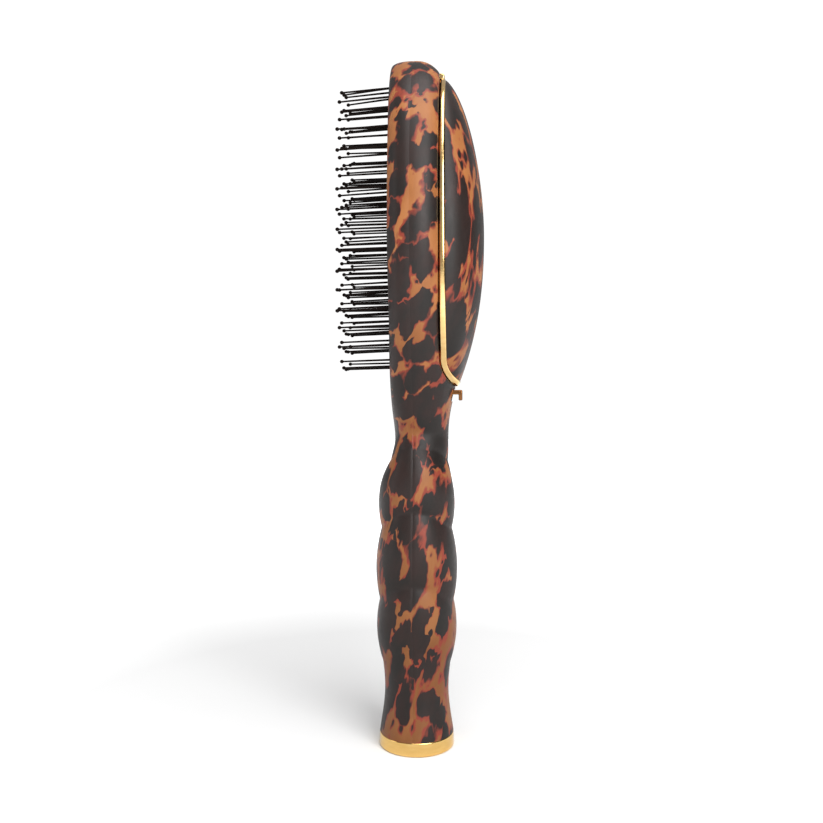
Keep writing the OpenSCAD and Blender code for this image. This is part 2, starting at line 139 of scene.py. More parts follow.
def swelling(z, i):
    """Radius of the handle between crease i and the next."""
    t = between(z, crease_z(i), crease_z(i + 1))
    bulge = SWELL * CREASES[i][2] * math.sin(math.pi * min(max(t, 0), 1)) ** 0.8
    return mix(crease_r(i), crease_r(i + 1), t) + bulge


def grip_r(z):
    """Radius of the handle at height z, before the creases arch."""
    if z < crease_z(0):
        t = between(max(z, CAP_H), CAP_H, crease_z(0))
        dip = (FOOT_R - WAIST_R - 0.3) * math.sin(math.pi * t ** 1.15)
        return mix(FOOT_R, crease_r(0), t) - dip
    for i in range(3):
        if z < crease_z(i + 1):
            return swelling(z, i)
    return mix(crease_r(3), NECK_R, smooth(between(z, crease_z(3), NECK_Z)))


def arched(z, side):
    """Height at which to read the handle's radius, so that the creases arch; side is -1 to 1."""
    rise = smooth(between(z, crease_z(0) - 8, crease_z(0) + 4))
    fade = 1 - smooth(between(z, crease_z(3), NECK_Z + 8))
    return z - ARCH * side * side * rise * fade


def head_share(z):
    return smooth(between(z, NECK_Z, WIDE_Z))


def body_half_w(z):
    if z < NECK_Z:
        return grip_r(z)
    if z < WIDE_Z:
        return mix(NECK_R, HEAD_HALF_W, head_share(z) ** 0.6)
    return HEAD_HALF_W * round_off(between(z, WIDE_Z, BRUSH_L), 2.2)


def lean(z):
    """How far the neck leans back at height z."""
    return NECK_LEAN * smooth(between(z, crease_z(3) - 9.5, NECK_Z)) ** 1.3


def body_front(z):
    if z < NECK_Z:
        return grip_r(z) - lean(z) + SEAM_Y
    grown = smooth(between(z, NECK_Z, NECK_Z + 22))
    depth = mix(NECK_R - NECK_LEAN + SEAM_Y, FRONT_DEPTH, grown)
    return depth * round_off(between(z, ROUND_Z, BRUSH_L), 5)


def body_back(z):
    if z < NECK_Z:
        return grip_r(z) + lean(z) - SEAM_Y
    grown = smooth(between(z, NECK_Z, NECK_Z + 23)) ** 1.3
    depth = mix(NECK_R + NECK_LEAN - SEAM_Y, BACK_DEPTH, grown)
    return depth * round_off(between(z, ROUND_Z, BRUSH_L), 2.3)


def extra_at(z):
    """How much thicker the bezel has become by height z."""
    return BEND_EXTRA * min(between(z, ABOVE_Z, BEND_Z), 1)


def face_y(z, d=0.0, extra=0.0):
    """Y of the face under the lid at height z, offset towards the lid by d and extra."""
    d += extra
    if z >= BEND_Z:
        return BACK_Y + d
    r = BEND_R - d
    drop = min(BEND_Z - z, r * 0.999)
    return BACK_Y + BEND_R - math.sqrt(r * r - drop * drop)


def soft_min(a, b, k):
    """The smaller of two values, with a rounded corner of size k."""
    h = max(k - abs(a - b), 0.0) / k
    return min(a, b) - h * h * k * 0.25


# ---- mesh helpers ----
SMOOTH_ANGLE = 35.0       # degrees up to which an edge is shaded smooth


def new_piece(name, verts_mm, faces, material, smooth_angle=SMOOTH_ANGLE):
    """Makes an object from points in millimetres, shaded smooth up to an angle."""
    mesh = bpy.data.meshes.new(name)
    mesh.from_pydata([(x * MM, y * MM, z * MM) for x, y, z in verts_mm], [], faces)
    obj = bpy.data.objects.new(name, mesh)
    bpy.context.scene.collection.objects.link(obj)
    tidy_mesh(obj, smooth_angle)
    obj.data.materials.append(material)
    return obj


def tidy_mesh(obj, smooth_angle):
    """Merges doubled points, turns faces outward and marks the sharp edges."""
    bm = bmesh.new()
    bm.from_mesh(obj.data)
    bmesh.ops.remove_doubles(bm, verts=bm.verts, dist=2e-6)
    bmesh.ops.dissolve_degenerate(bm, edges=bm.edges, dist=1e-7)
    bmesh.ops.recalc_face_normals(bm, faces=bm.faces)
    limit = math.radians(smooth_angle)
    for face in bm.faces:
        face.smooth = True
    for edge in bm.edges:
        edge.smooth = len(edge.link_faces) != 2 or edge.calc_face_angle(0.0) < limit
    bm.to_mesh(obj.data)
    bm.free()


def apply_modifiers(obj):
    """Freezes an object's modifiers into its mesh."""
    graph = bpy.context.evaluated_depsgraph_get()
    mesh = bpy.data.meshes.new_from_object(obj.evaluated_get(graph))
    obj.modifiers.clear()
    obj.data = mesh


def cut(obj, *cutters):
    """Cuts closed solids out of an object and deletes them."""
    for cutter in cutters:
        mod = obj.modifiers.new("cut", "BOOLEAN")
        mod.operation = "DIFFERENCE"
        mod.solver = "EXACT"
        mod.object = cutter
        apply_modifiers(obj)
        bpy.data.objects.remove(cutter)
    tidy_mesh(obj, SMOOTH_ANGLE)


def bevel(obj, width_mm, segments=3):
    """Rounds the edges sharper than 40 degrees."""
    mod = obj.modifiers.new("bevel", "BEVEL")
    mod.width = width_mm * MM
    mod.segments = segments
    mod.limit_method = "ANGLE"
    mod.angle_limit = math.radians(40)
    apply_modifiers(obj)
    tidy_mesh(obj, SMOOTH_ANGLE)


def skin(name, rings, material, smooth_angle=SMOOTH_ANGLE, loop=False):
    """A closed solid through rings of points; loop joins the last ring to the first."""
    m, k = len(rings[0]), len(rings)
    verts = [p for ring in rings for p in ring]
    faces = []
    for j in range(k if loop else k - 1):
        for i in range(m):
            a, b = j * m + i, j * m + (i + 1) % m
            c, d = ((j + 1) % k) * m + (i + 1) % m, ((j + 1) % k) * m + i
            faces.append((a, b, c, d))
    if not loop:
        faces.append(tuple(range(m - 1, -1, -1)))
        faces.append(tuple((k - 1) * m + i for i in range(m)))
    return new_piece(name, verts, faces, material, smooth_angle)


def oval(half_w, half_l, y, mid_z, n=160):
    """Points of a superellipse in the plane at y."""
    pts = []
    for i in range(n):
        a = 2 * math.pi * i / n
        pts.append((half_w * power(math.cos(a), 2 / OVAL_N), y,
                    mid_z + half_l * power(math.sin(a), 2 / OVAL_N)))
    return pts


def oval_stack(name, layers, mid_z, material):
    """A closed solid through ovals; each layer is half width, half length, y."""
    return skin(name, [oval(w, l, y, mid_z) for w, l, y in layers], material)


def lathe(name, profile, material, n=128):
    """A solid turned about Z; the profile runs from the axis back to the axis."""
    verts, faces, rows = [], [], []
    for r, z in profile:
        if r < 1e-6:
            rows.append([len(verts)] * n)
            verts.append((0, 0, z))
        else:
            rows.append(list(range(len(verts), len(verts) + n)))
            for i in range(n):
                a = 2 * math.pi * i / n
                verts.append((r * math.cos(a), r * math.sin(a), z))
    for low, high in zip(rows, rows[1:]):
        for i in range(n):
            quad = [low[i], low[(i + 1) % n], high[(i + 1) % n], high[i]]
            face = [v for k, v in enumerate(quad) if v not in quad[:k]]
            if len(face) > 2:
                faces.append(face)
    return new_piece(name, verts, faces, material)


def box_piece(name, x0, x1, y0, y1, z0, z1, material):
    verts = [(x, y, z) for x in (x0, x1) for y in (y0, y1) for z in (z0, z1)]
    faces = [(0, 1, 3, 2), (4, 6, 7, 5), (0, 4, 5, 1), (2, 3, 7, 6), (0, 2, 6, 4), (1, 5, 7, 3)]
    return new_piece(name, verts, faces, material)


def rod(name, radius, x0, x1, y, z, material, n=48, round_mm=0.15):
    """A bar along X with rounded ends."""
    turns = [2 * math.pi * i / n for i in range(n)]
    quarter = [math.pi / 2 * k / 4 for k in range(5)]
    ends = [(x0 + round_mm * (1 - math.cos(a)), radius - round_mm * (1 - math.sin(a))) for a in quarter]
    ends += [(x1 - (px - x0), r) for px, r in reversed(ends)]
    rings = [[(px, y + r * math.cos(a), z + r * math.sin(a)) for a in turns] for px, r in ends]
    return skin(name, rings, material)


def join(name, *pieces):
    """Joins objects into the first one."""
    bm = bmesh.new()
    for piece in pieces:
        bm.from_mesh(piece.data)
    first = pieces[0]
    bm.to_mesh(first.data)
    bm.free()
    for piece in pieces[1:]:
        bpy.data.objects.remove(piece)
    first.name = name
    return first


# ---- material helpers ----
class Nodes:
    """Short calls for building a node tree."""

    def __init__(self, name):
        self.material = bpy.data.materials.new(name)
        self.material.use_nodes = True
        self.tree = self.material.node_tree
        self.shader = self.tree.nodes["Principled BSDF"]

    def add(self, kind, inputs=None, **settings):
        node = self.tree.nodes.new(kind)
        for key, value in settings.items():
            setattr(node, key, value)
        for key, value in (inputs or {}).items():
            self.put(node.inputs[key], value)
        return node

    def put(self, socket, value):
        if isinstance(value, bpy.types.NodeSocket):
            self.tree.links.new(value, socket)
        else:
            socket.default_value = value

    def set(self, **inputs):
        for key, value in inputs.items():
            self.put(self.shader.inputs[key.replace("_", " ")], value)

    def coords(self, scale=(1, 1, 1)):
        """Object coordinates in metres, multiplied by scale."""
        source = self.add("ShaderNodeTexCoord").outputs["Object"]
        return self.add("ShaderNodeMapping", {"Vector": source, "Scale": scale}).outputs[0]

    def noise(self, vector, scale, detail):
        """Noise around 0.5; scale is in cells per metre."""
        settings = {"Vector": vector, "Scale": scale, "Detail": detail}
        return self.add("ShaderNodeTexNoise", settings).outputs["Fac"]

    def cells(self, vector, scale):
        """Distance to the nearest of scattered centres, in cells."""
        return self.add("ShaderNodeTexVoronoi", {"Vector": vector, "Scale": scale}).outputs["Distance"]

    def vector(self, operation, a, b):
        return self.add("ShaderNodeVectorMath", {0: a, 1: b}, operation=operation).outputs[0]

    def math(self, operation, a, b):
        return self.add("ShaderNodeMath", {0: a, 1: b}, operation=operation).outputs[0]

    def spread(self, value, low, high, out_low=0.0, out_high=1.0):
        """Carries low to high over to out_low to out_high, and stops at its ends."""
        node = self.add("ShaderNodeMapRange", {"Value": value, "From Min": low, "From Max": high,
                                               "To Min": out_low, "To Max": out_high})
        return node.outputs[0]

    def mix_color(self, fac, a, b):
        node = self.add("ShaderNodeMix", data_type="RGBA")
        self.put(node.inputs[0], fac)
        self.put(node.inputs[6], a)
        self.put(node.inputs[7], b)
        return node.outputs[2]

    def bump(self, height, strength, distance_mm):
        relief = {"Height": height, "Strength": strength, "Distance": distance_mm * MM}
        self.set(Normal=self.add("ShaderNodeBump", relief).outputs[0])


def pattern_space(n, stretch, sway, shift, fine):
    """Coordinates in which the pattern is even: leaning, stretched along Z and stirred."""
    parts = n.add("ShaderNodeSeparateXYZ", {"Vector": n.coords()}).outputs
    x, y, z = parts[0], parts[1], parts[2]
    above = n.math("MAXIMUM", n.math("SUBTRACT", z, NECK_Z * MM), 0.0)
    height = n.math("ADD", n.math("MULTIPLY", z, stretch[0]),
                    n.math("MULTIPLY", above, stretch[1] - stretch[0]))
    tilt, turn, middle = sway
    rise = n.math("SUBTRACT", z, middle)
    slant = n.math("MULTIPLY", rise, n.math("SUBTRACT", n.math("MULTIPLY", rise, turn), tilt))
    finer = n.spread(z, (NECK_Z - 15) * MM, (NECK_Z + 15) * MM, fine, 1.0)
    even = n.add("ShaderNodeCombineXYZ", {
        "X": n.math("MULTIPLY", x, finer),
        "Y": n.math("MULTIPLY", n.math("ADD", y, slant), finer),
        "Z": height,
    }).outputs[0]
    drift = n.add("ShaderNodeTexNoise", {"Vector": even, "Scale": 200.0, "Detail": 2.0}).outputs["Color"]
    stir = 0.0065
    moved = n.vector("ADD", even, n.vector("MULTIPLY", drift, (stir, stir, stir)))
    return n.vector("ADD", moved, shift), z


def tortoiseshell(name, stretch, sway, shift, cells, cover, fine=1.0):
    """Dark lobes that run together in amber, with red-brown fringes; satin finished.

    stretch holds the scale along Z below and above the neck. sway holds how far
    the streaks lean, how fast they turn with height, and the height they turn at.
    shift picks the piece of pattern, cells is the number of lobes in a metre, and
    cover is how far the dark reaches from the middle of a lobe, in cells.
    fine makes the lobes of the handle narrower than those of the head.
    """
    n = Nodes(name)
    at, z = pattern_space(n, stretch, sway, shift, fine)
    strokes = n.noise(n.vector("MULTIPLY", at, (1, 1, 0.35)), 620.0, 2.0)
    reach = n.spread(n.noise(at, 110.0, 1.0), 0.34, 0.66, cover - 0.09, cover + 0.09)
    large = n.math("SUBTRACT", reach, n.cells(at, cells))
    small = n.math("SUBTRACT", 0.30, n.cells(at, cells * 1.9))
    lobes = n.math("MAXIMUM", large, n.math("MULTIPLY", small, 0.6))
    edge = n.math("ADD", lobes, n.math("MULTIPLY", n.math("SUBTRACT", strokes, 0.5), 0.22))
    softness = n.spread(n.noise(at, 90.0, 1.0), 0.4, 0.65, 0.02, 0.12)
    dark = n.spread(edge, 0.0, softness)
    fringe = n.spread(n.noise(at, 170.0, 1.5), 0.40, 0.62, 0.02, 0.13)
    red = n.spread(n.math("ADD", edge, fringe), 0.0, 0.07)
    amber = n.mix_color(n.spread(n.noise(at, 60.0, 2.0), 0.35, 0.65),
                        (0.215, 0.074, 0.020, 1), (0.31, 0.118, 0.037, 1))
    # Painted shade: the amber darkens towards the foot, standing in for the light falling off down the
    # handle.
    painted_falloff = n.spread(z, CAP_H * MM, (NECK_Z + 30) * MM, 0.70, 0.97)
    amber = n.mix_color(painted_falloff, (0, 0, 0, 1), amber)
    rust = (0.19, 0.030, 0.016, 1)
    brown = n.mix_color(n.spread(n.noise(at, 130.0, 2.0), 0.38, 0.64),
                        (0.0105, 0.008, 0.007, 1), (0.019, 0.0095, 0.008, 1))
    n.set(Base_Color=n.mix_color(dark, n.mix_color(red, amber, rust), brown))
    n.set(Roughness=n.spread(n.noise(n.coords(), 700.0, 3.0), 0.3, 0.7, 0.40, 0.48))
    n.set(Specular_IOR_Level=0.26)
    n.bump(n.noise(n.coords(), 2600.0, 2.0), 0.04, 0.04)
    return n.material


def gold(name, pale, deep, rough=0.10):
    """Polished gold plating with the faintest polishing marks."""
    n = Nodes(name)
    worn = n.noise(n.coords((1, 1, 3)), 220.0, 4.0)
    n.set(Base_Color=n.mix_color(n.spread(worn, 0.3, 0.7), deep, pale), Metallic=1.0)
    n.set(Roughness=n.spread(worn, 0.3, 0.7, rough, rough + 0.07))
    n.bump(n.noise(n.coords((1, 1, 8)), 1500.0, 2.0), 0.03, 0.03)
    return n.material


def plastic(name, colour, rough, grain=1800.0, depth=0.1, shine=0.4, metal=0.0):
    """Moulded plastic with a fine spark-eroded grain; depth is the grain's, in millimetres."""
    n = Nodes(name)
    n.set(Specular_IOR_Level=shine, Metallic=metal)
    light = tuple(min(c * 1.25 + 0.002, 1) for c in colour)
    tone = n.noise(n.coords(), 60.0, 3.0)
    n.set(Base_Color=n.mix_color(n.spread(tone, 0.3, 0.7), (*colour, 1), (*light, 1)))
    n.set(Roughness=n.spread(n.noise(n.coords(), 400.0, 3.0), 0.3, 0.7, rough - 0.05, rough + 0.05))
    n.bump(n.noise(n.coords(), grain, 3.0), 0.2, depth)
    return n.material


def mirror_glass():
    """Silvered glass with a trace of haze."""
    n = Nodes("mirror_glass")
    haze = n.noise(n.coords(), 90.0, 4.0)
    n.set(Base_Color=(0.9, 0.92, 0.92, 1), Metallic=1.0)
    n.set(Roughness=n.spread(haze, 0.3, 0.8, 0.015, 0.035))
    return n.material


TORTOISE_HEAD = tortoiseshell("tortoise_head", stretch=(0.58, 0.75), sway=(0.22, 0.0, 0.1),
                              shift=(0.031, 0.014, 0.012), cells=145.0, cover=0.61, fine=1.22)
TORTOISE_LID = tortoiseshell("tortoise_lid", stretch=(0.4, 0.4), sway=(0.1, 6.0, 0.17),
                             shift=(0.055, 0.02, 0.03), cells=190.0, cover=0.62)
GOLD = gold("gold_plate", (0.76, 0.53, 0.24, 1), (0.67, 0.43, 0.17, 1))
GOLD_CAP = gold("gold_cap", (0.78, 0.52, 0.19, 1), (0.70, 0.44, 0.14, 1))
# Painted shade: a darkened copy of the gold plating for the thumb tab, whose dark brown stands in for the
# dark reflections seen on it.
GOLD_PAINTED_SHADE = gold("gold_tab_painted_shade", (0.21, 0.095, 0.034, 1), (0.14, 0.055, 0.02, 1), 0.2)
RUBBER = plastic("cushion_rubber", (0.012, 0.012, 0.012), 0.62)
NYLON = plastic("bristle_nylon", (0.004, 0.002, 0.0015), 0.4, grain=900.0, depth=0.002, shine=0.03)
INNER = plastic("inner_plastic", (0.035, 0.024, 0.02), 0.5)
FRAME = plastic("frame_plastic", (0.03, 0.02, 0.017), 0.32)
STEEL = plastic("steel_wire", (0.55, 0.55, 0.56), 0.25, metal=1.0)
FLAG = plastic("black_flag", (0.004, 0.003, 0.002), 0.9, shine=0.0)
TAPE = plastic("foam_tape", (0.62, 0.6, 0.55), 0.8)
MIRROR = mirror_glass()


# ---- shells ----
def levels():
    """Heights of the rings of the body: even along it, closer towards its top."""
    low = [mix(CAP_H, ROUND_Z, i / 260) for i in range(260)]
    high = [mix(ROUND_Z, BRUSH_L - 0.004, math.sin(math.pi / 2 * i / 40)) for i in range(41)]
    return low + high


def half_ring(z, face):
    """Half cross-section of the body, with its corners rounded, at height z; face is -1 or 1."""
    pts, steps = [], 72
    for i in range(steps + 1):
        a = math.pi * i / steps
        zz = arched(z, math.cos(a)) if z < NECK_Z + 8 else z
        depth = body_front(zz) if face < 0 else body_back(zz)
        p = 2 / mix(2, HEAD_N, head_share(z))
        x = body_half_w(zz) * power(math.cos(a), p)
        y = SEAM_Y + face * depth * power(math.sin(a), p)
        if face < 0 and z > NECK_Z:
            y = -soft_min(-y, RIM_Y, 1.2)
        if face > 0 and z > BEZEL_Z - 1.5:
            y = soft_min(y, face_y(z), 0.8)
        if i in (0, steps):
            x *= max(abs(x) - SEAM_GROOVE, 0.0) / max(abs(x), 1e-9)
        pts.append((x, y, z))
    return pts if face > 0 else pts[::-1]


def pad_opening():
    """Cutter for the oval hole that the pad sits in, with a rounded mouth at the rim."""
    flare, steps = 0.7, 6
    layers = [(PAD_HALF_W, PAD_HALF_L, SEAM_Y + 1)]
    for k in range(steps + 1):
        a = math.pi / 2 * k / steps
        grow = flare * (1 - math.cos(a))
        layers.append((PAD_HALF_W + grow, PAD_HALF_L + grow, -RIM_Y + flare * (1 - math.sin(a))))
    layers.append((PAD_HALF_W + flare, PAD_HALF_L + flare, -RIM_Y - 3))
    return oval_stack("pad_hole", layers, PAD_Z, INNER)


def front_shell():
    """The bristles' half of the handle and head."""
    shell = skin("front_cover", [half_ring(z, -1) for z in levels()], TORTOISE_HEAD)
    cut(shell, pad_opening())
    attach(shell, "brush")
    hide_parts("front_shell")


TRAY_LOW, TRAY_HIGH = node_box("compartment_tray")
TRAY_WALL, TRAY_LIP, TRAY_DEPTH, FLANGE_T = 1.2, 2.0, 7.4, 1.2
TRAY_Y = BACK_Y - 0.1
TRAY_HALF_W = TRAY_HIGH[0] - TRAY_WALL - TRAY_LIP
TRAY_HALF_L = 38.0
TRAY_Z = TRAY_LOW[2] + TRAY_HALF_L + TRAY_WALL + TRAY_LIP
LATCH_LOW, LATCH_HIGH = node_box("latch_slide")
LATCH_TRAVEL = 2.0
SLIDE_IN, SLIDE_OUT = 6.2, 8.0           # faces of the latch's slide, along Y
CATCH_IN, CATCH_LOW, CATCH_TOP = 5.2, BEZEL_Z + 2.1, BEZEL_Z + 4.7    # room for the lid's catch
LUG_X, LUG_W = 3.4, 3.5
SHELF_T, TAB_GAP = 1.5, 1.7


def back_shell():
    """The lid's half of the handle and head, with its slots for tray, hinge, latch and catch."""
    shell = skin("back_cover", [half_ring(z, 1) for z in levels()], TORTOISE_HEAD)
    rim = TRAY_WALL + TRAY_LIP + 0.1
    half_w, half_l = TRAY_HALF_W + rim, TRAY_HALF_L + rim
    tray_top = BACK_Y + 2
    tab_half = LATCH_HIGH[0] + GAP
    catch_half = node_box("lid_catch")[1][0] + GAP
    hollow_in, hollow_low = node_box("latch_guide")[0][1] - GAP, node_box("latch_guide")[0][2]
    shelf_low = BEZEL_Z - TAB_GAP - SHELF_T
    arm = LUG_X + LUG_W
    cutters = [
        oval_stack("tray_hole", [(half_w, half_l, SEAM_Y + 0.6), (half_w, half_l, tray_top)], TRAY_Z, INNER),
        box_piece("arm_slot", -arm - 0.1, arm + 0.1, TRAY_Y - FLANGE_T, tray_top, TRAY_Z, HINGE_Z, INNER),
        rod("hinge_trough", KNUCKLE_R + GAP, -arm - GAP, arm + GAP, HINGE_Y, HINGE_Z, INNER),
        box_piece("latch_hollow", -tab_half, tab_half, hollow_in, SLIDE_OUT + GAP, hollow_low,
                  CATCH_TOP, INNER),
        box_piece("tab_slot", -tab_half, tab_half, SLIDE_IN, OUTSIDE_Y, shelf_low - LATCH_TRAVEL - GAP,
                  shelf_low + SHELF_T + GAP, INNER),
        box_piece("catch_slot", -catch_half, catch_half, CATCH_IN, OUTSIDE_Y, CATCH_LOW, CATCH_TOP, INNER),
    ]
    cut(shell, *cutters)
    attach(shell, "brush")
    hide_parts("back_shell")


def dome_half_w(z):
    """Half width of the dome at height z."""
    return (BEZEL_HALF_W - DOME_INSET) * round_off(abs(between(z, BEZEL_MID, BEZEL_TOP)), OVAL_N)


def dome_rise(z):
    """How far the dome stands out at height z."""
    if z > WIDE_Z:
        return DOME_H * round_off(between(z, WIDE_Z, BEZEL_TOP), 1.75)
    return mix(DOME_END, DOME_H, 1 - min(between(z, WIDE_Z, BEZEL_Z), 1) ** 2.3)


def dome(name, inset):
    """Closed half-egg that stands on the face under the lid; inset makes it smaller all round."""
    reach = BEZEL_HALF - DOME_INSET - inset
    across, upward, curve = 96, 150, 2 / 2.2
    turns = [math.pi * i / across for i in range(across + 1)]
    rings = []
    for j in range(upward + 1):
        z = BEZEL_MID - reach * math.cos(math.pi * j / upward)
        half_w = max(dome_half_w(z) - inset, 0.05)
        rise = max(dome_rise(z) - inset, 0.05)
        rings.append([(half_w * power(math.cos(a), curve), BACK_Y + rise * power(math.sin(a), curve), z)
                      for a in turns])
    return skin(name, rings, TORTOISE_LID)


def ahead_of_lid(d):
    """Cutter: everything in front of the face under the lid, offset by d and the bezel's growth."""
    half_w, steps = 40.0, 24
    front_y, back_y, low_z = -5, 60, 80
    r = BEND_R - d - BEND_EXTRA
    centre_y = BACK_Y + BEND_R
    line = [(front_y, ABOVE_Z), (BACK_Y + d, ABOVE_Z)]
    line += [(centre_y - r * math.cos(a), BEND_Z - r * math.sin(a))
             for a in [math.pi / 2 * k / steps for k in range(steps + 1)]]
    line += [(back_y, BEND_Z - r), (back_y, low_z), (front_y, low_z)]
    return skin("front", [[(x, y, z) for y, z in line] for x in (-half_w, half_w)], INNER)


def lid_shell():
    """A dome with a real wall, cut off along the bezel and beside the hinge."""
    shell = dome("lid_cover", 0)
    above = box_piece("above", -30, 30, -5, 40, TRIM_Z, ABOVE_Z, INNER)
    cut(shell, ahead_of_lid(GAP + BEZEL_T), above, dome("inside", LID_WALL))
    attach(shell, "lid")
    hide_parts("lid_shell")


# ---- gold pieces ----
def band_centre(a):
    """Middle of the band at angle a around the lid."""
    half_w, half_l = BEZEL_HALF_W - BEZEL_BAND / 2, BEZEL_HALF - BEZEL_BAND / 2
    x = half_w * power(math.cos(a), 2 / OVAL_N)
    z = BEZEL_MID + half_l * power(math.sin(a), 2 / OVAL_N)
    z = min(z, TRIM_Z - BEZEL_BAND / 2)
    return Vector((x, face_y(z, GAP + BEZEL_T / 2, extra_at(z) / 2), z))


def band_ring(a):
    """Rounded cross-section of the band at angle a; at the bend it reaches further in."""
    step, curve, sides = 0.012, 0.7, 20
    point = band_centre(a)
    along = (band_centre(a + step) - band_centre(a - step)).normalized()
    out = Vector((0, 1, 0))
    if point.z < BEND_Z:
        out = Vector((0, BACK_Y + BEND_R, BEND_Z)) - Vector((0, point.y, point.z))
        out.normalize()
    side = along.cross(out).normalized()
    out = side.cross(along).normalized()
    tuck = BEND_TUCK * smooth(between(point.z, BEND_Z + 3, BEND_Z - 1))
    point = point - out * (tuck / 2)
    half_t = (BEZEL_T + extra_at(point.z) + tuck) / 2
    ring = []
    for j in range(sides):
        b = 2 * math.pi * j / sides
        across = side * (BEZEL_BAND / 2 * power(math.cos(b), curve))
        ring.append(tuple(point + across + out * (half_t * power(math.sin(b), curve))))
    return ring


def bezel():
    """The gold band around the lid, with a leaf and a knuckle at the hinge."""
    steps, leaf_half_w = 320, 7
    lid_y = BACK_Y + GAP
    rings = [band_ring(2 * math.pi * i / steps) for i in range(steps)]
    band = skin("band", rings, GOLD, loop=True, smooth_angle=60)
    leaf = box_piece("leaf", -leaf_half_w, leaf_half_w, lid_y, lid_y + BEZEL_T - 0.1,
                     TRIM_Z - 2.8, TRIM_Z, GOLD)
    bevel(leaf, 0.2)
    link = box_piece("link", -KNUCKLE_HALF_W, KNUCKLE_HALF_W, lid_y, HINGE_Y + KNUCKLE_R,
                     TRIM_Z - 0.5, HINGE_Z, GOLD)
    knuckle = rod("knuckle", KNUCKLE_R, -KNUCKLE_HALF_W, KNUCKLE_HALF_W, HINGE_Y, HINGE_Z, GOLD)
    piece = join("lid_trim_ring", band, leaf, link, knuckle)
    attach(piece, "lid")
    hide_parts("lid_bezel")


def end_cap():
    """The foot's cap: its edges are rounded, more below than above."""
    r, low_edge, high_edge = CAP_R, 0.7, 0.35
    profile = [(0, 0), (r - low_edge, 0)]
    profile += [(r - low_edge + low_edge * math.sin(a), low_edge - low_edge * math.cos(a))
                for a in [math.pi / 2 * k / 8 for k in range(1, 9)]]
    profile += [(r - 0.15, CAP_H - high_edge)]
    profile += [(r - 0.15 - high_edge + high_edge * math.cos(a), CAP_H - high_edge + high_edge * math.sin(a))
                for a in [math.pi / 2 * k / 6 for k in range(1, 7)]]
    profile += [(0, CAP_H)]
    cap = lathe("foot_cap", profile, GOLD_CAP)
    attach(cap, "brush")
    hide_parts("end_cap")


def latch_slide():
    """The thumb tab: a shelf with a lip, on a slide with a foot and a tongue."""
    w, y_foot, y_lip = LATCH_HIGH[0], LATCH_LOW[1], LATCH_HIGH[1]
    shelf_top, slide_low = BEZEL_Z - TAB_GAP, LATCH_LOW[2]
    shelf_low = shelf_top - SHELF_T
    lip_t, lip_h, foot_h = 1.2, 3.5, 2
    tongue_half_w, tongue_out = 2.5, 7.7
    tab = [(SLIDE_IN, shelf_top), (y_lip, shelf_top), (y_lip, shelf_top - lip_h),
           (y_lip - lip_t, shelf_top - lip_h), (y_lip - lip_t, shelf_low), (SLIDE_IN, shelf_low)]
    tab_piece = skin("tab", [[(x, y, z) for y, z in tab] for x in (-w, w)], GOLD_PAINTED_SHADE)
    bevel(tab_piece, 0.3, 4)
    slide = [(SLIDE_IN, shelf_top + GAP), (SLIDE_OUT, shelf_top + GAP), (SLIDE_OUT, slide_low),
             (y_foot, slide_low), (y_foot, slide_low + foot_h), (SLIDE_IN, slide_low + foot_h)]
    slide_piece = skin("slide", [[(x, y, z) for y, z in slide] for x in (-w, w)], GOLD_PAINTED_SHADE)
    tongue = box_piece("tongue", -tongue_half_w, tongue_half_w, SLIDE_IN, tongue_out,
                       shelf_low, LATCH_HIGH[2], GOLD_PAINTED_SHADE)
    piece = join("thumb_latch", tab_piece, slide_piece, tongue)
    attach(piece, "latch")
    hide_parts("latch_slide")


# ---- cushion and bristles ----
ROWS, ROW_PITCH, BRISTLE_PITCH = 9, 4.5, 6.0
BRISTLE_D, BALL_D = 0.7, 1.3
TIP_Y = node_box("bristle_row_5")[0][1]
PAD_MARGIN, PAD_END = 1.3, 3.2


def row_x(i):
    """Where row i stands, counted from 1."""
    return (i - (ROWS + 1) / 2) * ROW_PITCH


def row_heights(i):
    """Heights of the bristles of row i, from the pad's middle."""
    reach = (PAD_HALF_L - PAD_END) * round_off(abs(row_x(i)) / (PAD_HALF_W - PAD_MARGIN), 2.6)
    n = int(2 * reach // BRISTLE_PITCH)
    return [mix(-reach, reach, k / n) for k in range(n + 1)]


def droop(z, y):
    """How far a bristle has bent towards the handle by depth y, in millimetres."""
    out = max(-RIM_Y - y, 0.0)
    even_slope, top_slope = 0.028, 0.07
    return (even_slope + top_slope * smooth(between(z, 30, 48))) * out


